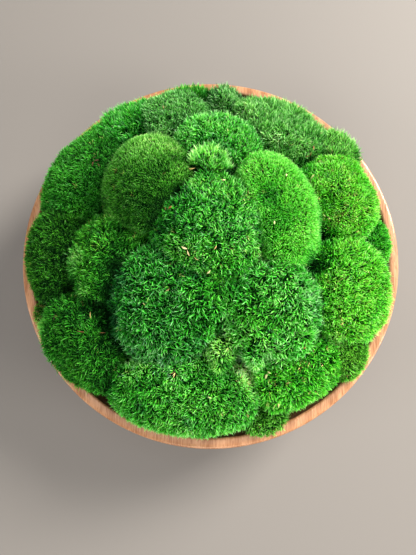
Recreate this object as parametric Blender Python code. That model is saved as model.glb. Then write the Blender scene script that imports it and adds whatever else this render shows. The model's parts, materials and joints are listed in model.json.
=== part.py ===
"""A mound of cushion moss packed into a shallow turned wooden bowl.

Metres, +Z up. The origin is the middle of the bowl's foot, on the table, and -Y is the front.
The bowl is turned about Z. A mound of soil fills it, and the moss cushions are wedged side by side on
the mound, each one a lumpy dome that spreads at its foot, where it fills the room between its neighbours,
and that is flattened where it presses on them.
"""

import math
from dataclasses import dataclass

import bmesh
import bpy
from mathutils import Euler, Matrix, Vector, noise

MM = 0.001

# Bowl, in mm: its arcs start ARC_START over the foot and the floor, where they are steep enough to use
RIM_RADIUS = 178.0
RIM_HEIGHT = 80.0
WALL = 9.0
FOOT_RADIUS = 74.0
FOOT_HEIGHT = 3.0
FOOT_EDGE = 1.0
FLOOR_THICKNESS = 12.0
ARC_START = 0.7
RIM_LEAN_DEG = 18.0
RIM_EDGE = 2.4
TURNED_SEGMENTS = 44
OUTER_WALL_STEPS = 6
LOWER_WALL_STEPS = 3
UPPER_WALL_STEPS = 2

# Soil, in mm
SOIL_EDGE = RIM_HEIGHT - 22.0
SOIL_RISE = 62.0
SOIL_STEPS = 5

# Moss, in mm, and its lean away from the middle in radians per mm
GAP = 0.3
LUMP_HEIGHT = 2.6
LUMP_SPAN = 26.0
LEAN_PER_MM = 0.0042
LARGE_CUSHION = 28.0

# A dome's foot spreads by a share of its width, between two heights over its middle, as shares of its own,
# except towards the bowl's rim, from RING_START mm outwards.
FOOT_SPREAD = 0.3
SPREAD_START = 0.6
SPREAD_END = -0.2
RING_START = 60.0
RING_END = 110.0

# sRGB colour and roughness of each material
BOWL_FINISH = ("B9764A", 0.45)
SOIL_FINISH = ("2A1C12", 0.95)
MOSS_ROUGHNESS = 0.9


@dataclass(frozen=True)
class Cushion:
    """One moss cushion: where its middle lies, how high its top is over the rim, and its half sizes.

    full is its profile: 2 is an ellipse, and more is flatter on top and steeper at the sides.
    """

    name: str
    x: float
    y: float
    top: float
    half_x: float
    half_y: float
    half_thick: float
    turn_deg: float
    full: float
    colour: str


CUSHIONS = (
    Cushion("moss_crown", -1, 2, 92, 45, 45, 38, 0, 2.4, "2F8F22"),
    Cushion("moss_left_dome", -48, 42, 82, 41, 51, 40, 20, 2.3, "3F8A26"),
    Cushion("moss_right_dome", 50, 19, 82, 39, 55, 40, 12, 2.3, "35A81C"),
    Cushion("moss_back_dome", 5, 79, 72, 40, 33, 34, -5, 2.4, "3D9A2C"),
    Cushion("moss_top_tuft", -2, 52, 84, 20, 16, 28, 0, 2.2, "63AE45"),
    Cushion("moss_front_left", -37, -56, 75, 49, 50, 38, 30, 2.8, "2C8420"),
    Cushion("moss_front_right", 48, -62, 72, 42, 46, 36, -10, 2.8, "3A8B30"),
    Cushion("moss_front", -24, -124, 46, 71, 42, 34, -5, 3.0, "3E9A2A"),
    Cushion("moss_front_low_right", 69, -108, 42, 47, 33, 30, 26, 3.0, "3BA020"),
    Cushion("moss_lower_right", 112, -96, 34, 28, 25, 26, 42, 2.8, "33901E"),
    Cushion("moss_right", 114, -43, 54, 45, 49, 38, -8, 2.8, "3DA322"),
    Cushion("moss_right_upper", 113, 40, 52, 39, 44, 36, 10, 2.7, "4A9C2E"),
    Cushion("moss_right_small", 147, 4, 26, 17, 28, 24, 0, 2.4, "2F9320"),
    Cushion("moss_upper_right", 113, 86, 36, 32, 28, 30, -50, 2.8, "3A9A26"),
    Cushion("moss_back_right", 63, 105, 46, 51, 41, 36, -28, 3.0, "43A533"),
    Cushion("moss_back_tuft", 13, 140, 33, 21, 26, 26, 0, 2.6, "3C9440"),
    Cushion("moss_back_edge", -24, 143, 28, 29, 24, 25, 10, 2.6, "2F8428"),
    Cushion("moss_back_olive", -34, 112, 50, 38, 38, 34, 12, 2.9, "4C8434"),
    Cushion("moss_far_back_left", -76, 107, 40, 44, 34, 34, 36, 3.0, "34862A"),
    Cushion("moss_left_back", -112, 63, 45, 54, 42, 36, 58, 3.0, "2F8022"),
    Cushion("moss_left", -133, -10, 42, 31, 48, 34, 2, 3.0, "2E7D1E"),
    Cushion("moss_left_mid", -84, -22, 62, 38, 43, 34, 6, 2.5, "37902B"),
    Cushion("moss_lower_left", -103, -83, 46, 49, 43, 36, -50, 3.0, "2B8220"),
    Cushion("moss_left_small", -146, -62, 16, 13, 20, 18, 18, 2.4, "5C9434"),
    Cushion("moss_front_small", 47, -150, 16, 24, 18, 20, 14, 2.4, "2D8A20"),
    Cushion("moss_pale_tuft", 7, -96, 62, 12, 18, 25, 0, 2.2, "62B048"),
)


def linear(hex_colour: str) -> tuple[float, float, float, float]:
    """Turn an sRGB hex colour into linear red, green, blue and alpha."""
    parts = [int(hex_colour[i : i + 2], 16) / 255 for i in (0, 2, 4)]
    return (*[c / 12.92 if c <= 0.04045 else ((c + 0.055) / 1.055) ** 2.4 for c in parts], 1.0)


def make_material(name: str, hex_colour: str, roughness: float) -> bpy.types.Material:
    """A plain Principled material."""
    material = bpy.data.materials.new(name)
    material.use_nodes = True
    shader = material.node_tree.nodes["Principled BSDF"]
    shader.inputs["Base Color"].default_value = linear(hex_colour)
    shader.inputs["Roughness"].default_value = roughness
    shader.inputs["Metallic"].default_value = 0.0
    return material


def add_object(name: str, bm: bmesh.types.BMesh, material: bpy.types.Material | None) -> bpy.types.Object:
    """Put a bmesh into the scene as one named object, shaded smooth between its sharp edges."""
    mesh = bpy.data.meshes.new(name)
    bm.to_mesh(mesh)
    bm.free()
    mesh.shade_smooth()
    mesh.set_sharp_from_angle(angle=math.radians(40))
    obj = bpy.data.objects.new(name, mesh)
    bpy.context.scene.collection.objects.link(obj)
    if material is not None:
        mesh.materials.append(material)
    return obj


def arc(
    centre: tuple[float, float], radius: float, start: float, end: float, steps: int
) -> list[tuple[float, float]]:
    """Points (r, z) along a circular arc, from one angle to another, in degrees."""
    angles = [math.radians(start + (end - start) * i / steps) for i in range(steps + 1)]
    return [(centre[0] + radius * math.cos(a), centre[1] + radius * math.sin(a)) for a in angles]


def lathe(profile: list[tuple[float, float]]) -> bmesh.types.BMesh:
    """Turn a profile of (r, z) points in mm, which starts and ends on the axis, into a closed solid."""
    bm = bmesh.new()
    verts = [bm.verts.new((r * MM, 0.0, z * MM)) for r, z in profile]
    edges = [bm.edges.new(pair) for pair in zip(verts, verts[1:])]
    bmesh.ops.spin(
        bm,
        geom=verts + edges,
        cent=(0, 0, 0),
        axis=(0, 0, 1),
        angle=math.tau,
        steps=TURNED_SEGMENTS,
        use_merge=True,
    )
    bmesh.ops.remove_doubles(bm, verts=bm.verts, dist=1e-6)
    bmesh.ops.recalc_face_normals(bm, faces=bm.faces)
    return bm


def wall_arc() -> tuple[tuple[float, float], float]:
    """Centre and radius of the arc of the bowl's outer wall.

    The arc runs from the top of the foot to the rim, and leans out by RIM_LEAN_DEG at the rim.
    """
    lean = math.radians(RIM_LEAN_DEG)
    outward = Vector((math.cos(lean), -math.sin(lean)))
    rim = Vector((RIM_RADIUS, RIM_HEIGHT - RIM_EDGE))
    chord = Vector((FOOT_RADIUS, FOOT_HEIGHT)) - rim
    radius = -chord.length_squared / (2 * chord.dot(outward))
    centre = rim - radius * outward
    return (centre.x, centre.y), radius


def height_angle(centre: tuple[float, float], radius: float, z: float) -> float:
    """Angle in degrees at which an arc of the wall, right of its centre, is at height z."""
    return math.degrees(math.asin((z - centre[1]) / radius))


def inner_wall(low: float, high: float, steps: int, clearance: float) -> list[tuple[float, float]]:
    """Points (r, z) up the inside of the bowl's wall between two heights, clearance off its surface.

    The heights are those of the wall itself, so that points of every clearance face each other.
    """
    centre, radius = wall_arc()
    start = height_angle(centre, radius - WALL, low)
    end = height_angle(centre, radius - WALL, high)
    return arc(centre, radius - WALL - clearance, start, end, steps)


def lower_wall(clearance: float) -> list[tuple[float, float]]:
    """The inside of the wall from the floor to the soil's edge."""
    return inner_wall(FLOOR_THICKNESS + ARC_START, SOIL_EDGE, LOWER_WALL_STEPS, clearance)


def upper_wall(clearance: float) -> list[tuple[float, float]]:
    """The inside of the wall from the soil's edge to the rim's rounding."""
    return inner_wall(SOIL_EDGE, RIM_HEIGHT - RIM_EDGE, UPPER_WALL_STEPS, clearance)


def soil_dome(clearance: float) -> list[tuple[float, float]]:
    """Points (r, z) up the top of the soil, from where it meets the wall to the axis."""
    reach, edge = lower_wall(GAP)[-1]
    steps = [i / SOIL_STEPS for i in range(SOIL_STEPS + 1)]
    return [(reach * (1 - t), edge + SOIL_RISE * (1 - (1 - t) ** 2) + clearance) for t in steps]


def make_bowl() -> bpy.types.Object:
    """The turned bowl: a flat foot, a wall of even thickness and a rounded rim."""
    centre, radius = wall_arc()
    low = height_angle(centre, radius, FOOT_HEIGHT + ARC_START)
    high = height_angle(centre, radius, RIM_HEIGHT - RIM_EDGE)
    outer = [(0.0, 0.0), (FOOT_RADIUS - FOOT_EDGE, 0.0), (FOOT_RADIUS, FOOT_EDGE)]
    outer += arc(centre, radius, low, high, OUTER_WALL_STEPS)
    inner = lower_wall(0.0)[:-1] + upper_wall(0.0)
    rim_outer = arc((outer[-1][0] - RIM_EDGE, RIM_HEIGHT - RIM_EDGE), RIM_EDGE, 45, 90, 1)
    rim_inner = arc((inner[-1][0] + RIM_EDGE, RIM_HEIGHT - RIM_EDGE), RIM_EDGE, 90, 135, 1)
    profile = outer + rim_outer + rim_inner + inner[::-1] + [(0.0, FLOOR_THICKNESS)]
    return add_object("bowl", lathe(profile), make_material("turned_wood", *BOWL_FINISH))


def make_soil() -> bpy.types.Object:
    """The mound of soil that fills the bowl and carries the moss."""
    profile = [(0.0, FLOOR_THICKNESS + GAP)] + lower_wall(GAP) + soil_dome(0.0)[1:]
    return add_object("soil_mound", lathe(profile), make_material("soil", *SOIL_FINISH))


def make_space_cutter() -> bpy.types.Object:
    """Everything the moss can't be in: the soil, the bowl's wall and rim, and the space outside them."""
    wall = upper_wall(GAP)
    outside = 2 * RIM_RADIUS
    over_rim = RIM_HEIGHT + GAP
    profile = [(0.0, -RIM_HEIGHT), (outside, -RIM_HEIGHT), (outside, over_rim), (wall[-1][0], over_rim)]
    profile += wall[:0:-1] + soil_dome(GAP)
    cutter = add_object("space_cutter", lathe(profile), None)
    cutter.hide_render = True
    cutter.display_type = "WIRE"
    return cutter


def ramp(value: float, start: float, end: float) -> float:
    """Rise smoothly from 0 at start to 1 at end."""
    share = min(1.0, max(0.0, (value - start) / (end - start)))
    return share * share * (3 - 2 * share)


class Dome:
    """A cushion's dome: its middle, its turned axes and its half sizes, in mm."""

    def __init__(self, cushion: Cushion) -> None:
        """Stand the dome on the mound, so that its top is where the cushion says."""
        reach = math.hypot(cushion.x, cushion.y)
        heading = math.atan2(cushion.y, cushion.x)
        lean = Matrix.Rotation(reach * LEAN_PER_MM, 3, Vector((-math.sin(heading), math.cos(heading), 0)))
        self.axes = lean @ Euler((0, 0, math.radians(cushion.turn_deg))).to_matrix()
        self.halves = Vector((cushion.half_x, cushion.half_y, cushion.half_thick))
        upward = Vector([row.z for row in self.axes.transposed()])
        rise = math.sqrt(sum((u * h) ** 2 for u, h in zip(upward, self.halves)))
        self.middle = Vector((cushion.x, cushion.y, RIM_HEIGHT + cushion.top - rise))

        self.full = 2 / cushion.full
        self.outward = Vector((math.cos(heading), math.sin(heading), 0.0))
        self.in_ring = ramp(reach, RING_START, RING_END)

    def place(self, direction: Vector, lump: float) -> Vector:
        """The point of the dome's surface, in mm, for a direction of the unit sphere and a share of its size."""
        across = math.hypot(direction.x, direction.y)
        side = (direction.x / across, direction.y / across) if across else (0.0, 0.0)
        rise = math.copysign(abs(direction.z) ** self.full, direction.z)
        facing = (self.axes @ Vector((*side, 0.0))).dot(self.outward)
        room = 1 - self.in_ring * max(0.0, facing)
        width = across**self.full * (1 + FOOT_SPREAD * room * ramp(rise, SPREAD_START, SPREAD_END))
        local = Vector((side[0] * width, side[1] * width, rise)) * lump
        return self.middle + self.axes @ Vector([c * h for c, h in zip(local, self.halves)])

    def reach_towards(self, direction: Vector) -> float:
        """Distance from the middle to the surface of the dome's ellipsoid along a unit direction."""
        local = self.axes.transposed() @ direction
        return 1 / math.sqrt(sum((c / h) ** 2 for c, h in zip(local, self.halves)))


def dome_mesh(dome: Dome, seed: int) -> bmesh.types.BMesh:
    """The whole lumpy dome of one cushion, before its neighbours flatten it."""
    bm = bmesh.new()
    size = max(dome.halves)
    levels = 3 if size > LARGE_CUSHION else 2
    bmesh.ops.create_icosphere(bm, subdivisions=levels, radius=1.0)
    own_noise = Vector((7.3, 3.1, 1.7)) * seed
    for vert in bm.verts:
        lump = 1 + noise.noise(vert.co * size / LUMP_SPAN + own_noise) * LUMP_HEIGHT / size
        vert.co = dome.place(vert.co, lump) * MM
    return bm


def press_flat(bm: bmesh.types.BMesh, own: Dome, other: Dome) -> None:
    """Cut a cushion along the plane in which its dome meets its neighbour's dome."""
    between = other.middle - own.middle
    distance = between.length
    if distance > (max(own.halves) + max(other.halves)) * (1 + FOOT_SPREAD) + LUMP_HEIGHT:
        return
    direction = between / distance
    own_reach = own.reach_towards(direction)
    other_reach = other.reach_towards(-direction)
    along = (distance**2 + own_reach**2 - other_reach**2) / (2 * distance) - GAP / 2
    point = (own.middle + direction * along) * MM
    bmesh.ops.bisect_plane(
        bm,
        geom=bm.verts[:] + bm.edges[:] + bm.faces[:],
        plane_co=point,
        plane_no=direction,
        clear_outer=True,
    )
    bmesh.ops.holes_fill(bm, edges=bm.edges, sides=0)


def make_cushion(index: int, domes: list[Dome], cutter: bpy.types.Object) -> bpy.types.Object:
    """One cushion: its dome, flattened by its neighbours and fitted to the soil and the bowl."""
    cushion = CUSHIONS[index]
    bm = dome_mesh(domes[index], index)
    for other, dome in enumerate(domes):
        if other != index:
            press_flat(bm, domes[index], dome)
    green = make_material(cushion.name + "_green", cushion.colour, MOSS_ROUGHNESS)
    obj = add_object(cushion.name, bm, green)
    fit = obj.modifiers.new("fit_to_bowl", "BOOLEAN")
    fit.operation = "DIFFERENCE"
    fit.solver = "EXACT"
    fit.object = cutter
    return obj


def main() -> None:
    """Build the bowl, the soil and the cushions."""
    for obj in list(bpy.data.objects):
        bpy.data.objects.remove(obj)
    make_bowl()
    make_soil()
    cutter = make_space_cutter()
    domes = [Dome(cushion) for cushion in CUSHIONS]
    for index in range(len(CUSHIONS)):
        make_cushion(index, domes, cutter)


main()
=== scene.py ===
"""Cushion moss packed into a shallow turned wooden bowl: the looks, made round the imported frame.

Metres, +Z up, in the frame's own coordinates. Sizes of shapes and patterns are named in millimetres and
turned to metres with MM. Each cushion is a dark bed, shrunk from its solid, with leafy shoots grown on it
by Geometry Nodes, so that the leaf tips end where the solid's surface is.
"""

import sys

import json
import logging
import math
import random
from dataclasses import dataclass
from enum import Enum

import bmesh
import bpy
import numpy as np
from bpy.types import ID, Material, Mesh, MeshVertex, Node, NodeOutputs, Object
from bpy.types import NodeSocket as Socket, NodeTree as Tree
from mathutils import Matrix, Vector, noise
from mathutils.bvhtree import BVHTree

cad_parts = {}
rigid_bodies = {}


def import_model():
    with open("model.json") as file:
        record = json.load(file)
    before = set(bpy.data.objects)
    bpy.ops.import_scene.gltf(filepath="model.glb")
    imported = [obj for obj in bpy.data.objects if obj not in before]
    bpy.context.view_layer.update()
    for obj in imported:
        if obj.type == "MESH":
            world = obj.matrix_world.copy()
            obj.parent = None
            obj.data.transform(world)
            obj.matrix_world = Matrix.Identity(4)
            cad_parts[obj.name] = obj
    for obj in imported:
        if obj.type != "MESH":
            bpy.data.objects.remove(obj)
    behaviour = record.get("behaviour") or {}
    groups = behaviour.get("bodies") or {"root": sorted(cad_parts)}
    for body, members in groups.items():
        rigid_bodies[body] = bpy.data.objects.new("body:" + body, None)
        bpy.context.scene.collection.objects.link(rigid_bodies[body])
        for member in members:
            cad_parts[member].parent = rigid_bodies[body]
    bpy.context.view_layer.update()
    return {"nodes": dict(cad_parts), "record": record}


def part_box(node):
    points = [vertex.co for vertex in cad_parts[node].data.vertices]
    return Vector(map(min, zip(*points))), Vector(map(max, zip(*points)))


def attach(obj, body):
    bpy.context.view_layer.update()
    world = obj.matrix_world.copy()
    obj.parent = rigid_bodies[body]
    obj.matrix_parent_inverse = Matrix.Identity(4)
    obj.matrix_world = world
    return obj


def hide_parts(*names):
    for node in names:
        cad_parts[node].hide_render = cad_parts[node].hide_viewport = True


MM = 0.001
WELD = 0.01 * MM
WAVE_RATE = 20  # radians per unit of a wave texture's scale
UP = Vector((0, 0, 1))
BODY = "root"
BAKED_UV = "OFBake"
LOG = logging.getLogger("moss_bowl")
GOLDEN_ANGLE = math.pi * (3 - math.sqrt(5))

Span = tuple[float, float]


# ------------ nodes and meshes


def linear(hex_colour: str) -> tuple[float, float, float, float]:
    """Turn an sRGB hex colour into linear light.

    Args:
        hex_colour: Six hex digits, red, green and blue.

    Returns:
        Red, green, blue and an alpha of one.
    """
    parts = [int(hex_colour[i : i + 2], 16) / 255 for i in (0, 2, 4)]
    return (*[c / 12.92 if c <= 0.04045 else ((c + 0.055) / 1.055) ** 2.4 for c in parts], 1.0)


def add_node(
    tree: Tree, kind: str, settings: dict | None = None, inputs: dict | None = None
) -> Node:
    """Add a node to a shader or geometry tree.

    Args:
        tree: The tree that gets the node.
        kind: Blender's name for the kind of node.
        settings: Properties of the node. The key "stops" fills a colour ramp with (place, colour).
        inputs: Socket name or number, with the constant or the other node's output for it.

    Returns:
        The new node.
    """
    node = tree.nodes.new(kind)
    for key, value in (settings or {}).items():
        if key == "stops":
            while len(node.color_ramp.elements) < len(value):
                node.color_ramp.elements.new(1.0)
            for element, (place, colour) in zip(node.color_ramp.elements, value):
                element.position = place
                element.color = linear(colour)
        else:
            setattr(node, key, value)
    for key, value in (inputs or {}).items():
        if isinstance(value, Socket):
            tree.links.new(value, node.inputs[key])
        else:
            node.inputs[key].default_value = value
    return node


def calc(tree: Tree, operation: str, *values: Socket | float, **settings: bool) -> Socket:
    """Return what a math node makes of its values."""
    settings["operation"] = operation
    return add_node(tree, "ShaderNodeMath", settings, dict(enumerate(values))).outputs[0]


def ranged(
    tree: Tree, value: Socket, ends: Span, results: tuple[Socket | float, float], smooth: bool = False
) -> Socket:
    """Move a value to another range.

    Args:
        tree: The tree of the value.
        value: What is moved.
        ends: Between which values it is moved.
        results: What they and all beyond them become.
        smooth: Whether the way between them is an S curve.

    Returns:
        The moved value.
    """
    settings = {"interpolation_type": "SMOOTHSTEP" if smooth else "LINEAR"}
    inputs = dict(enumerate((value, *ends, *results)))
    return add_node(tree, "ShaderNodeMapRange", settings, inputs).outputs[0]


def mixed(tree: Tree, share: Socket | float, first: object, second: object, way: str = "MIX") -> Socket:
    """Return two colours mixed, with the second one's share."""
    settings = {"data_type": "RGBA", "blend_type": way}
    return add_node(tree, "ShaderNodeMix", settings, {0: share, 6: first, 7: second}).outputs[2]


def ramp(tree: Tree, value: Socket, places: tuple[float, ...], colours: tuple[str, ...]) -> Socket:
    """Return the colour that a ramp of sRGB colours at the given places has at a value."""
    stops = list(zip(places, colours))
    return add_node(tree, "ShaderNodeValToRGB", {"stops": stops}, {0: value}).outputs[0]


def noise_nodes(tree: Tree, place: Socket, scale: Socket | float, **more: float) -> NodeOutputs:
    """Return the outputs of a noise texture: a number and a colour."""
    inputs = {"Vector": place, "Scale": scale, **more}
    return add_node(tree, "ShaderNodeTexNoise", None, inputs).outputs


def baked_axes(tree: Tree) -> tuple[Socket, Socket]:
    """Return U and V of the map that carries a material's colours."""
    uv = add_node(tree, "ShaderNodeUVMap", {"uv_map": BAKED_UV})
    axes = add_node(tree, "ShaderNodeSeparateXYZ", None, {0: uv.outputs[0]})
    return axes.outputs[0], axes.outputs[1]


def new_material(name: str) -> tuple[Material, Tree]:
    """Make a material with an empty node tree, and return both."""
    material = bpy.data.materials.new(name)
    material.use_nodes = True
    material.node_tree.nodes.clear()
    return material, material.node_tree


def end_shader(tree: Tree, inputs: dict) -> None:
    """End a material's tree with a shader that has these inputs."""
    shader = add_node(tree, "ShaderNodeBsdfPrincipled", None, inputs)
    add_node(tree, "ShaderNodeOutputMaterial", None, {0: shader.outputs[0]})


def finished(bm: bmesh.types.BMesh, smooth: bool = True) -> Mesh:
    """Turn a bmesh into a mesh, and free it."""
    mesh = bpy.data.meshes.new("mesh")
    bm.to_mesh(mesh)
    bm.free()
    if smooth:
        mesh.shade_smooth()
    return mesh


def show(data: ID, name: str) -> Object:
    """Put a mesh, lamp or camera into the scene as an object at the origin, and return the object."""
    data.name = name
    obj = bpy.data.objects.new(name, data)
    bpy.context.scene.collection.objects.link(obj)
    return obj


def evaluated_mesh(obj: Object) -> Mesh:
    """Return a plain mesh of an object with its modifiers done, and remove the object.

    Args:
        obj: An object in the scene with live modifiers.

    Returns:
        The mesh that the viewport would show.
    """
    graph = bpy.context.evaluated_depsgraph_get()
    mesh = bpy.data.meshes.new_from_object(obj.evaluated_get(graph), depsgraph=graph)
    old = obj.data
    bpy.data.objects.remove(obj)
    bpy.data.meshes.remove(old)
    return mesh


def even_copy(solid: Object, name: str, voxel_mm: float, softening: int = 0) -> Mesh:
    """Return a copy of a solid with an even mesh, its edges softened in some steps."""
    bm = bmesh.new()
    bm.from_mesh(solid.data)
    bmesh.ops.remove_doubles(bm, verts=bm.verts, dist=WELD)
    obj = show(finished(bm, smooth=False), name)
    even = obj.modifiers.new("even", "REMESH")
    even.mode = "VOXEL"
    even.voxel_size = voxel_mm * MM
    if softening:
        obj.modifiers.new("soft", "SMOOTH").iterations = softening
    return evaluated_mesh(obj)


def points_of(mesh: Mesh) -> np.ndarray:
    """Return the places of a mesh's points, as rows."""
    return np.array([vert.co for vert in mesh.vertices])


def write_values(mesh: Mesh, name: str, values: np.ndarray) -> None:
    """Write a number for each point of a mesh, or a vector for each, as a named attribute."""
    kind, key = ("FLOAT", "value") if values.ndim == 1 else ("FLOAT_VECTOR", "vector")
    flat = values.astype(np.float32).ravel()
    mesh.attributes.new(name, kind, "POINT").data.foreach_set(key, flat)


def settle(obj: Object, slot: str, *nodes: str) -> None:
    """Let a finished piece ride on the body, in place of its solids.

    Args:
        obj: The finished piece, at the origin.
        slot: The record's material slot; not used.
        nodes: The solids that the piece stands for.
    """
    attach(obj, BODY)
    if nodes:
        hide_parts(*nodes)
    triangles = sum(len(p.vertices) - 2 for p in obj.data.polygons)
    LOG.info("%s: %d triangles, in place of %s", obj.name, triangles, ", ".join(nodes) or "nothing")


# ------------ finishes


@dataclass(frozen=True)
class MossFinish:
    """Living cushion moss: thin, slightly glossy leaves, dark at the base, partly as painted shade among
    the leaves, and pale at the tip.

    The leaves' UV map gives the colour. U is the tone of the shoot, from cold and dark over fresh green to
    yellow and, at the very end, straw. V runs along the leaf from its base to its tip, and is shorter on
    leaves that get painted shade. Its painted shade ends, and its tip's colour and its gloss start, between
    two places along it.
    """

    name: str
    tones: tuple[str, ...]
    tips: tuple[str, ...]
    # Colour of the leaf's base and of the bed: partly the moss's dark base, partly painted shade among the
    # leaves.
    shade: str = "042408"
    tone_places: tuple[float, ...] = (0.0, 0.16, 0.4, 0.62, 0.84, 0.97)
    tip_places: tuple[float, ...] = (0.1, 0.5, 0.86)
    shade_end: Span = (0.16, 0.68)
    tip_start: Span = (0.5, 1.0)
    tip_share: float = 0.85
    roughness: Span = (0.9, 0.42)
    gloss_start: Span = (0.1, 0.6)
    gloss: Span = (0.02, 0.3)

    def material(self) -> Material:
        """Make the material of one kind of moss."""
        material, tree = new_material(self.name + "_moss_leaves")
        tone, along = baked_axes(tree)
        body = ramp(tree, tone, self.tone_places, self.tones)
        tip = ramp(tree, tone, self.tip_places, self.tips)
        # Painted shade: towards the leaf's base the colour goes over to the shade colour.
        painted_light = ranged(tree, along, self.shade_end, (0.0, 1.0), smooth=True)
        young = ranged(tree, along, self.tip_start, (0.0, self.tip_share), smooth=True)
        low = mixed(tree, painted_light, linear(self.shade), body)
        end_shader(tree, {
            "Base Color": mixed(tree, young, low, tip),
            "Roughness": ranged(tree, along, (0.0, 1.0), self.roughness),
            "Specular IOR Level": ranged(tree, along, self.gloss_start, self.gloss)})
        return material


@dataclass(frozen=True)
class TurnedWoodFinish:
    """Oiled hardwood, turned and sanded: satin, with growth rings, fibres and short dark pores.

    The plank's fibres run along Y, so the rim shows long grain at the sides and end grain at the front and
    the back. The inner wall gets a painted shade, darker and redder, by the attribute "inside". ring_share
    is how much the rings show beside the fibres.
    """

    slot: str = "turned_wood"
    light: str = "B48460"
    middle: str = "9E6F4B"
    dark: str = "80502F"
    # Colour of the painted shade on the inner wall.
    inner: str = "4E1C10"
    ring_mm: float = 6.5
    fibre_mm: float = 1.1
    pore_mm: float = 0.9
    bump_mm: float = 0.25
    stretch: float = 0.07
    plank_middle: tuple[float, float, float] = (0.06, 0.0, 0.16)
    ring_share: float = 0.2
    grain_places: tuple[float, ...] = (0.34, 0.55, 0.78)
    pore_cells: float = 1.9
    pore_edge: Span = (0.60, 0.68)
    # How strongly the painted shade darkens the inner wall.
    inner_shade_strength: float = 0.75
    satin_edge: Span = (0.3, 0.9)
    roughness: Span = (0.64, 0.5)

    def material(self) -> Material:
        """Make the wood's material."""
        material, tree = new_material("oiled_hardwood")
        place = add_node(tree, "ShaderNodeTexCoord").outputs["Object"]
        along = add_node(tree, "ShaderNodeMapping", None,
                         {0: place, 1: self.plank_middle, 3: (1.0, self.stretch, 1.0)}).outputs[0]
        rings = add_node(
            tree, "ShaderNodeTexWave",
            {"wave_type": "RINGS", "rings_direction": "Y", "wave_profile": "SIN"},
            {0: along, "Scale": math.tau / (WAVE_RATE * self.ring_mm * MM), "Distortion": 5.0,
             "Detail": 2.0, "Detail Scale": 0.6}).outputs[1]
        fibres = noise_nodes(tree, along, 1 / (self.fibre_mm * MM), Detail=5.0)[0]
        pores = noise_nodes(tree, along, self.pore_cells / (self.pore_mm * MM), Detail=1.0)[0]
        pore = ranged(tree, pores, self.pore_edge, (0.0, 1.0))
        pattern = calc(tree, "MULTIPLY_ADD", rings, self.ring_share, fibres)
        grain = ramp(tree, pattern, self.grain_places, (self.dark, self.middle, self.light))
        stained = mixed(tree, pore, grain, linear(self.dark))
        # Painted shade on the inner wall: the grain multiplied darker and redder.
        inside = add_node(tree, "ShaderNodeAttribute", {"attribute_name": "inside"}).outputs["Fac"]
        shaded_grain = mixed(tree, self.inner_shade_strength, stained, linear(self.inner), "MULTIPLY")
        relief = calc(tree, "SUBTRACT", fibres, pore)
        bump = add_node(tree, "ShaderNodeBump", None,
                        {"Strength": 0.35, "Distance": self.bump_mm * MM, "Height": relief})
        end_shader(tree, {
            "Base Color": mixed(tree, inside, stained, shaded_grain),
            "Roughness": ranged(tree, pattern, self.satin_edge, self.roughness),
            "Specular IOR Level": 0.25, "Coat Weight": 0.45, "Coat Roughness": 0.15,
            "Normal": bump.outputs[0]})
        return material


@dataclass(frozen=True)
class SoilFinish:
    """Damp potting soil: matt, nearly black crumbs with some lighter fibre."""

    slot: str = "soil"
    crumb: str = "21160D"
    damp: str = "120B06"
    fibre: str = "4A3520"
    crumb_mm: float = 2.5
    bump_mm: float = 1.0
    crumb_places: tuple[float, ...] = (0.35, 0.55, 0.72)
    roughness: Span = (1.0, 0.8)

    def material(self) -> Material:
        """Make the soil's material."""
        material, tree = new_material("damp_soil")
        place = add_node(tree, "ShaderNodeTexCoord").outputs["Object"]
        grains = noise_nodes(tree, place, 1 / (self.crumb_mm * MM), Detail=6.0, Roughness=0.7)[0]
        bump = add_node(tree, "ShaderNodeBump", None,
                        {"Strength": 0.8, "Distance": self.bump_mm * MM, "Height": grains})
        end_shader(tree, {
            "Base Color": ramp(tree, grains, self.crumb_places, (self.damp, self.crumb, self.fibre)),
            "Roughness": ranged(tree, grains, (0.0, 1.0), self.roughness), "Normal": bump.outputs[0]})
        return material


# Vivid young cushion moss, its brightness on the right of the clump partly painted light.
BRIGHT_MOSS = MossFinish(
    "bright", ("0A762A", "199806", "32CB06", "58E00D", "8DEE2A", "D9B878"), ("98D894", "B0EA84", "D2F09C"))
# The plain green of most of the clump, with cool tips.
MID_MOSS = MossFinish(
    "mid", ("09692E", "138D13", "2BB913", "47CF1C", "7CE339", "D2B070"), ("96D49C", "AEE496", "CEEEA8"))
# Deep green moss, its darkness on the left of the clump partly painted shade.
DEEP_MOSS = MossFinish(
    "deep", ("074515", "106F06", "1E9408", "3AB311", "66CD27", "B89C5C"), ("74C474", "8CD66C", "B4E284"))
# Older, yellower moss.
OLIVE_MOSS = MossFinish(
    "olive", ("0B5211", "258006", "44B00D", "64CD20", "93E03B", "C8A868"), ("86BE66", "B4DC88", "D4E8A4"))
# Greyer moss with long leaves, its greyness partly painted light: the haze over the back of the clump.
SOFT_MOSS = MossFinish(
    "soft", ("1C7022", "34962A", "54BA3A", "78D44A", "A0E868", "D2B478"), ("B0E0A4", "C8F0AC", "E0F8C2"))
# Pale new tufts.
PALE_MOSS = MossFinish(
    "pale", ("187516", "29A31C", "4DCB2A", "75E03D", "9FF056", "DCC48A"), ("A8E0A4", "C2EEA4", "E0F6B8"))


# ------------ shoots


@dataclass(frozen=True)
class ShootStyle:
    """How the shoots of one growth stand and how their leaves bend, in mm and degrees.

    spread is the lean of the top and of the bottom leaf. splay, swirl and lump are how much the shoots
    stray one by one, how much patch by patch, and how uneven their bed is. sickle bends all the leaves
    of a shoot to one side.
    """

    leaves: int
    length: float
    width: float
    spread: Span
    curl: float
    spacing: float
    splay: float
    swirl: float
    lump: float
    sickle: float


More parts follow.
